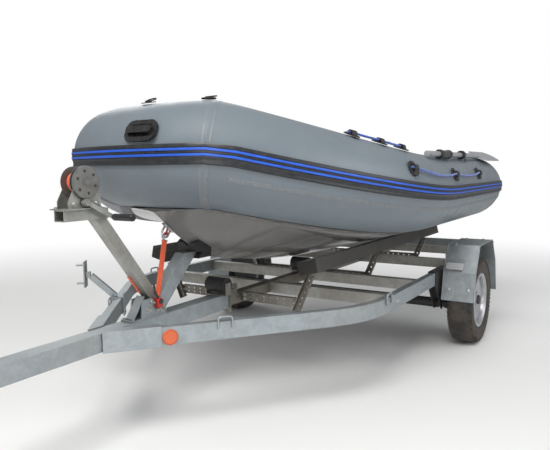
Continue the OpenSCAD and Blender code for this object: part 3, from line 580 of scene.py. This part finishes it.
# rubbing strake: beaded edges, two raised blue lines in the upper part
mm = 0.001
strake = Build()
prof = [(-10.5, 0), (-10.3, 6 * mm), (-9.6, 9.5 * mm), (-8.4, 9.5 * mm), (-7.6, 7 * mm), (-4.2, 7 * mm), (-3.4, 9 * mm), (-2.6, 9 * mm), (-2.3, 7.5 * mm),
        (0.7, 7.5 * mm), (1.0, 9.5 * mm), (2.8, 9.5 * mm), (3.1, 7.5 * mm), (6.1, 7.5 * mm), (6.5, 9.5 * mm), (9.0, 9.5 * mm), (10.0, 8 * mm), (10.5, 0)]
band(strake, 3, NP_ - 4, prof[::-1])
so = strake.make("rub_strake_skin", M["strake_rubber"], deg=50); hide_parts("rub_strake")
blue = Build()
for a0, a1 in ((3.3, 5.9), (-2.1, 0.5)):
    band(blue, 3, NP_ - 4, [(a0, 7 * mm), (a0 + 0.15, 10.5 * mm), ((a0 + a1) / 2, 11.5 * mm), (a1 - 0.15, 10.5 * mm), (a1, 7 * mm)][::-1])
bo = blue.make("strake_blue_lines", M["blue_rubber"], deg=50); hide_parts("strake_stripes")

# glued seam tapes: between tube and hull, along the side tubes, at the corners
tape = Build()
band(tape, 13, NP_ - 14, [(-93, 0.0), (-92.5, 3 * mm), (-80.5, 3 * mm), (-80, 0.0)][::-1])
to = tape.make("hull_seam_tape", M["strake_rubber"]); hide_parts("seam_tape")
SEAM = paint("seam_grey", (0.165, 0.182, 0.195), (0.42, 0.55), scale=60, worn=0.2, wear=(0.3, 0.31, 0.31))
side_seam = Build()
for i0, i1 in ((4, NS - 2), (NP_ - NS + 1, NP_ - 5)):
    band(side_seam, i0, i1, [(-26.2, -0.2 * mm), (-25.8, 1.8 * mm), (-21.6, 1.8 * mm), (-21.2, -0.2 * mm)][::-1])
side_seam.make("tube_seam_strips", SEAM)
corner = Build()
for i in (NS - 1, NP_ - NS):
    v = []; f = []
    n = 72
    rows = [(-0.021, 0.0), (-0.020, 0.0010), (0.020, 0.0010), (0.021, 0.0)]
    for sl, h in rows:
        for j in range(n):
            a = j * 360 / n
            # stays on each tube: a point slid along its own straight
            base = PTS[i]
            dd = d_out(i) if sl > 0 else d_in(i)
            p = skin(i, a, h + 0.0004)
            v.append(p + dd * sl)
    for q in range(3):
        for j in range(n):
            f.append([q * n + j, q * n + (j + 1) % n, (q + 1) * n + (j + 1) % n, (q + 1) * n + j])
    corner.add(v, f)
corner.make("corner_seam_strips", SEAM)

# ------------------------------------------------------------------ hull: rounded stem, chine lines
TR_F = -0.600
KEEL = 0.605
HULL = [(TR_F, 0, 0.640, 0.754), (0.1, 0, 0.640, 0.758), (0.65, 0.006, 0.632, 0.768), (1.0, 0.032, 0.585, 0.795), (1.25, 0.062, 0.510, 0.835),
        (1.45, 0.094, 0.415, 0.880), (1.6, 0.131, 0.325, 0.922), (1.73, 0.190, 0.240, 0.958), (1.85, 0.270, 0.160, 0.985)]


def smooth_table(t, x):
    xs = [r[0] for r in t]
    # monotone cubic through the table
    n = len(xs)
    i = max(0, min(n - 2, next((k for k in range(n - 1) if x <= xs[k + 1]), n - 2)))
    out = []
    for c in range(1, len(t[0])):
        y = [r[c] for r in t]
        h = [xs[k + 1] - xs[k] for k in range(n - 1)]; d = [(y[k + 1] - y[k]) / h[k] for k in range(n - 1)]
        m = [d[0]] + [0 if d[k - 1] * d[k] <= 0 else 2 * d[k - 1] * d[k] / (d[k - 1] + d[k]) for k in range(1, n - 1)] + [d[-1]]
        u = (x - xs[i]) / h[i]
        out.append(y[i] * (1 + 2 * u) * (1 - u) ** 2 + m[i] * h[i] * u * (1 - u) ** 2 + y[i + 1] * u * u * (3 - 2 * u) + m[i + 1] * h[i] * u * u * (u - 1))
    return out


def hull_section(x, n=14):
    """half section from keel to gunwale, rounded chine with a small spray step"""
    k, w, cz = smooth_table(HULL, x)
    k += KEEL
    ty, tz = cl_y(x) - 0.020, cl_z(x) - cl_r(x) - 0.002
    pts = []
    for i in range(n):
        t = i / (n - 1)
        y = w * t
        z = k + (cz - k) * (t ** 1.06) - 0.010 * math.sin(math.pi * t) * 0
        pts.append((y, z))
    # spray rails at two places on the bottom: the loop is empty, so none are built
    for t0 in (0.42, 0.70):
        pass
    pts += [(w + 0.008, cz + 0.006), (w + 0.010, cz + 0.016)]
    for i in range(1, 9):
        t = i / 8
        pts.append((w + 0.010 + (ty - w - 0.010) * t, cz + 0.016 + (tz - cz - 0.016) * (t ** 0.9)))
    return pts


hull = Build(); v = []; f = []
hx = [TR_F + i * (1.85 - TR_F) / 60 for i in range(61)]
cols = None
for x in hx:
    half = hull_section(x)
    ring = [(x, y, z) for y, z in half] + [(x, -y, z) for y, z in half[:0:-1]]
    cols = len(ring)
    v += [P(*p) for p in ring]
# stem: blend from the last section to the nose
last = hull_section(1.85)
tz = cl_z(CORNER_X) - cl_r(CORNER_X) - 0.002
for t in (0.2, 0.4, 0.6, 0.8, 0.92, 1.0):
    ring = []
    for q, (y, z) in enumerate(last):
        e_y = 0.150 * (q / (len(last) - 1)) ** 1.2
        e_z = 0.985 + (tz - 0.985) * (q / (len(last) - 1)) ** 0.7
        ring.append((1.85 + 0.133 * t - 0.006 * t * q / len(last), y + (e_y - y) * t ** 1.1, z + (e_z - z) * t))
    v += [P(*p) for p in ring] + [P(p[0], -p[1], p[2]) for p in ring[:0:-1]]
rows = len(hx) + 6
for i in range(rows - 1):
    for j in range(cols):
        f.append([i * cols + j, i * cols + (j + 1) % cols, (i + 1) * cols + (j + 1) % cols, (i + 1) * cols + j])
f.append([j for j in range(cols - 1, -1, -1)]); f.append([(rows - 1) * cols + j for j in range(cols)])
hull.add(v, f)
ho = hull.make("boat_hull_skin", M["gelcoat"], deg=28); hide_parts("boat_hull")

# ------------------------------------------------------------------ wheels
def wheel_detail(side, body, y0):
    s = side
    tr = Build()
    n = 60
    R, W = 0.289, 0.160
    ax = Vector((0, s, 0))
    c = P(0, y0 * s, R)
    def rot(k, p):
        w = 2 * math.pi * k
        x, y, z = p
        return c + Vector((x * math.cos(w) + z * math.sin(w), y * s, -x * math.sin(w) + z * math.cos(w)))
    for k in range(n):
        for y_a, y_b, ph, sk in ((-0.070, -0.030, 0.0, 0.35), (-0.022, 0.022, 0.5, 0.0), (0.030, 0.070, 0.25, -0.35)):
            a0 = (k + ph) / n; wd = 0.62 / n
            v = []
            for yy, off in ((y_a, 0), (y_b, sk / n)):
                edge = abs(yy) > 0.06
                r1 = R - (0.007 if edge else 0.0006); r0 = R - 0.020
                for r in (r0, r1):
                    for q in (a0 + off, a0 + off + wd):
                        v.append(rot(q, (0, yy, r)))
            # verts: yy(2) x r(2) x q(2)
            tr.add(v, [[0, 1, 3, 2], [4, 6, 7, 5], [0, 4, 5, 1], [2, 3, 7, 6], [0, 2, 6, 4], [1, 5, 7, 3]])
        # shoulder lugs
        for yy, dy in ((0.070, 0.010), (-0.070, -0.010)):
            a0 = (k + 0.25) / n; wd = 0.55 / n
            v = []
            for (y2, r) in ((yy, R - 0.008), (yy + dy * 0.55, R - 0.016), (yy + dy * 0.9, R - 0.030)):
                for h in (0.0, 0.003):
                    for q in (a0, a0 + wd):
                        v.append(rot(q, (0, y2 + math.copysign(h * 0.8, dy), r - 0.004 + h)))
            fs = []
            for i in range(2):
                b0 = i * 4
                fs += [[b0, b0 + 4, b0 + 5, b0 + 1], [b0 + 2, b0 + 3, b0 + 7, b0 + 6], [b0, b0 + 2, b0 + 6, b0 + 4], [b0 + 1, b0 + 5, b0 + 7, b0 + 3]]
            fs += [[0, 1, 3, 2], [8, 10, 11, 9]]
            tr.add(v, fs)
    tr.make(("port" if s > 0 else "starboard") + "_tyre_tread", TREAD, body, 25)
    # sidewall rings, plain
    sw = Build()
    for r, h in ((0.262, 0.0016), (0.232, 0.0012), (0.206, 0.0016)):
        prof_y = {0.262: 0.0755, 0.232: 0.0797, 0.206: 0.0763}[r]
        sw.lathe(c + ax * (prof_y - 0.002), ax, [(0, r + 0.0022), (0.0026, r + 0.0014), (0.0030, r), (0.0026, r - 0.0014), (0, r - 0.0022)], 72)
    # lathe ends would close the disc, so only the ring faces are kept
    sw.f = [q for q in sw.f if len(q) == 4]
    sw.make(("port" if s > 0 else "starboard") + "_tyre_rings", M["tyre_rubber"], body, 60)
    # lug bolts, centre cap, valve
    rb = Build()
    for k in range(4):
        w = math.radians(45 + 90 * k)
        p = c + Vector((math.cos(w) * 0.049, 0, math.sin(w) * 0.049)) + ax * 0.0295
        rb.lathe(p - ax * 0.002, ax, [(0, 0.0135), (0.004, 0.0125)], 20)
        rb.lathe(p, ax, [(0, 0.0098), (0.013, 0.0098), (0.0155, 0.008)], 6)
    rb.make(("port" if s > 0 else "starboard") + "_wheel_bolts", BOLT, body)
    cap = Build()
    cap.lathe(c + ax * 0.052, ax, [(0, 0.031), (0.006, 0.031), (0.012, 0.028), (0.016, 0.020), (0.0175, 0.0)], 36)
    cap.make(("port" if s > 0 else "starboard") + "_hub_cap", M["axle_black"], body)
    va = Build()
    va.tube([c + Vector((0.143, 0, 0.03)) + ax * 0.036, c + Vector((0.140, 0, 0.03)) + ax * 0.056, c + Vector((0.137, 0, 0.03)) + ax * 0.066], [0.0055, 0.004, 0.0045], 10)
    va.make(("port" if s > 0 else "starboard") + "_valve", M["black_rubber"], body)


wheel_detail(1, "port_wheel", 0.963)
wheel_detail(-1, "starboard_wheel", 0.963)

# ------------------------------------------------------------------ winch
WX, WZ, GEAR, PIN = 2.410, 1.140, 0.066, 0.015
CX, CZ = WX + 0.010, WZ - math.sqrt((GEAR + PIN + 0.0006) ** 2 - 0.0001)


def gear(b, x, z, y0, y1, r, teeth, depth):
    n = teeth * 4; v = []; f = []
    rr = []
    for k in range(n):
        rr.append(r + (depth * 0.5 if k % 4 in (0, 1) else -depth * 0.5))
    for y in (y0, y1):
        for k in range(n):
            w = 2 * math.pi * (k + 0.5) / n
            v.append(P(x + rr[k] * math.cos(w), y, z + rr[k] * math.sin(w)))
    for k in range(n):
        f.append([k, (k + 1) % n, n + (k + 1) % n, n + k])
    f.append([k for k in range(n - 1, -1, -1)]); f.append([n + k for k in range(n)])
    b.add(v, f)


g = Build(); gear(g, WX, WZ, 0.0415, 0.0505, GEAR - 0.0014, 66, 0.0030)
g.lathe(P(WX, 0.050, WZ), (0, 1, 0), [(0, 0.020), (0.003, 0.020), (0.003, 0.013), (0.007, 0.013)], 32)
g.make("winch_gear_teeth", M["drum_orange"], "winch_drum", 25)
g = Build()
for k in range(6):
    w = math.radians(60 * k + 20)
    g.lathe(P(WX + 0.045 * math.cos(w), 0.0495, WZ + 0.045 * math.sin(w)), (0, 1, 0), [(0, 0.007), (0.0015, 0.0065)], 16)
g.make("winch_gear_marks", M["axle_black"], "winch_drum")
g = Build(); gear(g, CX, CZ, 0.0418, 0.0572, PIN - 0.0008, 15, 0.0024)
g.lathe(P(CX, 0.064, CZ), (0, 1, 0), [(0, 0.013), (0.005, 0.013), (0.006, 0.011)], 6)
g.make("winch_pinion_teeth", M["stainless"], "winch_crank", 25)
# hook between the bow eye and the strap's sewn end
hk = Build()
hk.tube([P(1.926, 0.002, 0.846), P(1.928, 0.002, 0.853), P(1.938, 0.002, 0.858), P(1.943, 0.002, 0.866), P(1.940, 0.002, 0.875), P(1.932, 0.002, 0.879), P(1.925, 0.002, 0.874), P(1.923, 0.002, 0.868)], 0.0036, 12)
hk.tube([P(1.926, -0.016, 0.848), P(1.926, 0.018, 0.848)], 0.0042, 12)
hk.make("strap_top_hook", M["stainless"])
# webbing wound on the drum
w_ = Build()
for k, r in enumerate((0.0345, 0.0365, 0.0385)):
    w_.lathe(P(WX, -0.0225, WZ), (0, 1, 0), [(0, r), (0.0005, r + 0.0012), (0.0445, r + 0.0012), (0.045, r)], 48)
w_.make("winch_webbing", M["orange_webbing"], "winch_drum")
# crank grip, ribbed
ca = math.radians(27); CL = 0.148
gx, gz = CX - CL * math.cos(ca), CZ - CL * math.sin(ca)
gr = Build()
prof = [(0.0, 0.0125), (0.002, 0.0145)]
for k in range(9):
    y = 0.010 + k * 0.011
    prof += [(y, 0.0150), (y + 0.003, 0.0138), (y + 0.007, 0.0138)]
prof += [(0.108, 0.0150), (0.1125, 0.0130), (0.1135, 0.0)]
gr.lathe(P(gx, 0.0645, gz), (0, 1, 0), prof, 28)
gr.make("winch_grip", M["black_plastic"], "winch_crank", 40)
# ratchet pawl rod and bolts on the frame
fx = Build()
for dx, dz in ((-0.055, 0.022), (0.055, 0.022)):
    for s in (-1, 1):
        fx.hexbolt(P(WX + dx, s * 0.035, 1.036 + dz - 0.004), (0, s, 0), 0.0065, 0.005)
for dx in (-0.068, 0.080):
    for s in (-1, 1):
        fx.hexbolt(P(WX + dx, s * 0.043, 1.0366), (0, 0, 1), 0.0065, 0.005)
fx.make("winch_bolts", BOLT)
pw = Build()
pw.tube([P(WX - 0.030, -0.030, WZ + 0.010), P(WX - 0.045, 0.0, WZ + 0.055), P(WX - 0.05, 0.036, WZ + 0.052)], 0.004, 10)
pw.make("winch_pawl_rod", M["stainless"])

# ------------------------------------------------------------------ bolts on the frame
FZ, RH, RW = 0.508, 0.080, 0.040
FB = FZ - RH
fb = Build()
va_ = math.radians(38.6)


def rail_pt(s, out, z, side=1):
    th = math.pi - va_
    x = s * math.cos(th) + out * math.sin(th)
    y = s * math.sin(th) - out * math.cos(th)
    return P(2.376 + x, side * y, z)


rail_out = Vector((math.sin(va_), math.cos(va_), 0))
for side in (1, -1):
    o = Vector((rail_out.x, side * rail_out.y, 0))
    for x in (1.030, 0.560, -0.320, -1.030):
        for dx in (-0.014, 0.014):
            fb.hexbolt(P(x + dx, side * (0.810 + RW / 2), FZ - 0.042), (0, side, 0), 0.008, 0.006)
for x in (1.352, 0.464, -0.500):
    for side in (1, -1):
        for y, z in ((0.055, 0.460), (0.055, 0.482), (0.385, 0.470)):
            fb.hexbolt(P(x, side * y, z), (1, 0, 0), 0.008, 0.006, stud=0.006)
for s in (-1, 1):
    for x, z in ((2.020, 0.545), (2.085, 0.548), (2.060, 0.580), (1.990, 0.535)):
        fb.hexbolt(P(x, s * 0.0363, z), (0, s, 0), 0.011, 0.008, stud=0.008)
    for x in (1.975, 2.170):
        fb.hexbolt(P(x, s * 0.029, 0.5158), (0, 0, 1), 0.008, 0.006)
fb.make("frame_bolts", BOLT)

# fender rim lip and stays' bolts
FEND = [(0.300, 0.330), (0.258, 0.508), (0.160, 0.676), (-0.200, 0.676), (-0.305, 0.520), (-0.345, 0.300)]
fl = Build()
for s in (-1, 1):
    for y in (1.060, 0.858):
        pts = [P(x, s * y, z) for x, z in FEND]
        fl.tube(pts, 0.0034, 8)
    # points along the middle of the fender; no pressed ridge is built from them
    pts = [P(x, s * 0.960, z) for x, z in FEND[1:5]]
fl.make("fender_rolled_edges", M["galvanised"])
fe = Build()
for s in (-1, 1):
    for x in (0.135, -0.155):
        for y in (0.900, 1.010):
            fe.hexbolt(P(x, s * y, 0.6765), (0, 0, 1), 0.008, 0.006)
    fe.hexbolt(P(0.285, s * 0.900, 0.402), (0.97, 0, 0.24), 0.007, 0.005)
    fe.hexbolt(P(0.285, s * 1.020, 0.402), (0.97, 0, 0.24), 0.007, 0.005)
fe.make("fender_bolts", BOLT)

# ------------------------------------------------------------------ reflectors: housing rings
rr_ = Build()
for side in (1, -1):
    o = Vector((rail_out.x, side * rail_out.y, 0))
    c = rail_pt(0.322, RW / 2 + 0.0005, FZ - 0.046, side)
    rr_.lathe(c, o, [(0.0, 0.0345), (0.0055, 0.0345), (0.0075, 0.0330), (0.0075, 0.0312), (0.004, 0.0305)], 40)
rr_.f = [q for q in rr_.f if len(q) == 4]
rr_.make("reflector_rings", M["orange_reflector"], deg=40)

# ------------------------------------------------------------------ rope-holder straps, oar straps, ends
hs = Build()
def side_frame(x, a):
    y0, y1, z0, z1 = cl_y(x - .001), cl_y(x + .001), cl_z(x - .001), cl_z(x + .001)
    d = Vector((0.002, y1 - y0, z1 - z0)).normalized()
    o = Vector((0, 0, 1)).cross(d).normalized(); u = d.cross(o)
    n = o * math.cos(a) + u * math.sin(a)
    return P(x, cl_y(x), cl_z(x)) + n * cl_r(x), d, n
for side in (1, -1):
    for x, a in [(q, 27) for q in (1.120, 0.560, 0.0)] + [(q, 72) for q in (1.400, 1.225, 1.040)]:
        c, d, n = side_frame(x, math.radians(a))
        w = n.cross(d)
        fl_ = Vector((1, side, 1))
        pts = [c + w * t * 0.040 + n * (0.0095 + 0.0185 * math.exp(-(t * 2.2) ** 4)) for t in [k / 8 for k in range(-8, 9)]]
        pts = [Vector((p.x, p.y * side, p.z)) for p in pts]
        nn = Vector((n.x, n.y * side, n.z))
        hs.ribbon(pts, [nn] * len(pts), 0.030, 0.0022)
hs.make("rope_holder_straps", M["black_rubber"], deg=50)
OY, OZ = TUBE_Y + 0.250 * math.cos(math.radians(63)), TUBE_Z + 0.250 * math.sin(math.radians(63))
od = Build()
for s in (1, -1):
    for x in (0.575, 0.400, 0.100):
        od.lathe(P(x, s * OY, OZ), (1, 0, 0), [(-0.012, 0.0245), (-0.010, 0.0275), (0.010, 0.0275), (0.012, 0.0245)], 24)
    # strap round shaft and down to the tube
    n = Vector((0, s * math.cos(math.radians(63)), math.sin(math.radians(63))))
    w = Vector((0, -s * math.sin(math.radians(63)), math.cos(math.radians(63))))
    c = P(0.097, s * OY, OZ)
    pts = [c - n * 0.028 + w * 0.045] + [c + n * 0.027 * math.cos(t) + w * 0.027 * math.sin(t) for t in [math.radians(q) for q in range(100, -101, -20)]] + [c - n * 0.028 - w * 0.045]
    outs = [n] + [n * math.cos(t) + w * math.sin(t) for t in [math.radians(q) for q in range(100, -101, -20)]] + [n]
    od.ribbon(pts, outs, 0.034, 0.002)
od.make("oar_straps", M["black_rubber"], deg=50)

# ratchet parts: the handle (sf, A_ and B_ are unused)
sf = Build()
A_ = P(1.919, 0, 0.873); B_ = P(2.021, 0.0365, 0.606)
rt = Build()
c = P(2.024, 0.050, 0.580)
rt.lathe(c + Vector((0, -0.012, 0)), (0, 1, 0), [(0, 0.012), (0.026, 0.012)], 20)
rt.tube([c + Vector((0.010, 0, 0.015)), c + Vector((0.030, 0.002, 0.055)), c + Vector((0.036, 0.003, 0.085))], 0.005, 10)
rt.make("ratchet_handle", M["axle_black"])

# ------------------------------------------------------------------ stage
def stage_and_camera():
    fl = bpy.data.meshes.new("floor")
    s = 30.0
    fl.from_pydata([(-s, -s, 0), (s, -s, 0), (s, s, 0), (-s, s, 0)], [], [[0, 1, 2, 3]])
    fo = bpy.data.objects.new("floor", fl)
    bpy.context.scene.collection.objects.link(fo)
    m = Mat("floor_pale")
    m.color(m.ramp(m.noise(0.6, 3, 0.5), [(0.3, (0.78, 0.78, 0.775)), (0.7, (0.82, 0.82, 0.815))]))
    m.rough(0.85)
    # seen by the camera, the far floor fades to the white of the backdrop
    nt = m.m.node_tree
    outn = [k for k in nt.nodes if k.type == "OUTPUT_MATERIAL"][0]
    base = outn.inputs[0].links[0].from_socket
    geo = nt.nodes.new("ShaderNodeNewGeometry"); ln = nt.nodes.new("ShaderNodeVectorMath"); ln.operation = "LENGTH"
    nt.links.new(geo.outputs["Position"], ln.inputs[0])
    mr = nt.nodes.new("ShaderNodeMapRange"); mr.interpolation_type = "SMOOTHSTEP"
    mr.inputs[1].default_value = 2.8; mr.inputs[2].default_value = 7.5
    nt.links.new(ln.outputs["Value"], mr.inputs[0])
    lp = nt.nodes.new("ShaderNodeLightPath"); mu = nt.nodes.new("ShaderNodeMath"); mu.operation = "MULTIPLY"
    nt.links.new(mr.outputs[0], mu.inputs[0]); nt.links.new(lp.outputs["Is Camera Ray"], mu.inputs[1])
    em = nt.nodes.new("ShaderNodeEmission"); em.inputs[0].default_value = (1, 1, 1, 1); em.inputs[1].default_value = 1.0
    mx = nt.nodes.new("ShaderNodeMixShader")
    nt.links.new(mu.outputs[0], mx.inputs[0]); nt.links.new(base, mx.inputs[1]); nt.links.new(em.outputs[0], mx.inputs[2])
    nt.links.new(mx.outputs[0], outn.inputs[0])
    fl.materials.append(m.m)
    w = bpy.data.worlds.new("studio")
    bpy.context.scene.world = w
    w.use_nodes = True
    t = w.node_tree
    for n in list(t.nodes):
        t.nodes.remove(n)
    out = t.nodes.new("ShaderNodeOutputWorld")
    bg = t.nodes.new("ShaderNodeBackground")
    co = t.nodes.new("ShaderNodeTexCoord")
    sep = t.nodes.new("ShaderNodeSeparateXYZ")
    r = t.nodes.new("ShaderNodeValToRGB")
    el = r.color_ramp.elements
    el[0].position, el[0].color = 0.0, (0.80, 0.80, 0.80, 1)
    el[1].position, el[1].color = 0.55, (0.98, 0.99, 1.0, 1)
    t.links.new(co.outputs["Generated"], sep.inputs[0])
    t.links.new(sep.outputs[2], r.inputs[0])
    t.links.new(r.outputs[0], bg.inputs[0])
    bg.inputs[1].default_value = 0.42
    bright = t.nodes.new("ShaderNodeBackground")
    bright.inputs[0].default_value = (1, 1, 1, 1); bright.inputs[1].default_value = 1.0
    ray = t.nodes.new("ShaderNodeLightPath"); pick = t.nodes.new("ShaderNodeMixShader")
    t.links.new(ray.outputs["Is Camera Ray"], pick.inputs[0])
    t.links.new(bg.outputs[0], pick.inputs[1]); t.links.new(bright.outputs[0], pick.inputs[2])
    t.links.new(pick.outputs[0], out.inputs[0])

    def area(name, loc, at, size, power, col=(1, 1, 1)):
        l = bpy.data.lights.new(name, "AREA")
        l.shape = "RECTANGLE"; l.size, l.size_y = size
        l.energy = power; l.color = col
        o = bpy.data.objects.new(name, l)
        bpy.context.scene.collection.objects.link(o)
        o.location = loc
        d = Vector(at) - Vector(loc)
        o.rotation_mode = "QUATERNION"
        o.rotation_quaternion = d.to_track_quat("-Z", "Y")
    area("front_soft", (5.5, 3.0, 1.6), (0, 0.4, 0.7), (2.5, 2.0), 70, (0.97, 0.98, 1.0))
    area("key_soft", (3.5, 1.5, 5.5), (-0.2, 0.3, 0.8), (3.2, 2.4), 330, (1.0, 0.985, 0.96))
    area("side_soft", (-1.5, 6.5, 3.2), (-0.2, 0.3, 0.7), (5.0, 2.5), 120, (0.96, 0.98, 1.0))
    area("back_soft", (-4.5, -5.0, 4.5), (0, 0, 0.9), (4.0, 3.0), 110)
    x = CAM
    cy, sy = math.cos(x[3]), math.sin(x[3]); cp, sp = math.cos(x[4]), math.sin(x[4])
    A = Vector((cy * cp, sy * cp, sp)); R = Vector((sy, -cy, 0)); U = R.cross(A)
    cr, sr = math.cos(x[5]), math.sin(x[5])
    R2 = cr * R + sr * U; U2 = -sr * R + cr * U
    cam = bpy.data.cameras.new("camera")
    cam.sensor_fit = "HORIZONTAL"; cam.sensor_width = 36.0
    cam.lens = x[6] / 550 * 36; cam.clip_start = 0.05; cam.clip_end = 200
    co = bpy.data.objects.new("camera", cam)
    bpy.context.scene.collection.objects.link(co)
    co.matrix_world = Matrix(((R2[0], U2[0], -A[0], x[0] + SHIFT), (R2[1], U2[1], -A[1], x[1]), (R2[2], U2[2], -A[2], x[2]), (0, 0, 0, 1)))
    bpy.context.scene.camera = co
    bpy.context.scene.view_settings.view_transform = "Standard"
    bpy.context.scene.view_settings.look = "None"
    bpy.context.scene.view_settings.exposure = 0.0


# camera place, heading, pitch, roll, and focal length in widths of 550
CAM = [3.9443, 1.9145, 1.1821, 3.7088, -0.0969, -0.0129, 574.544]
stage_and_camera()
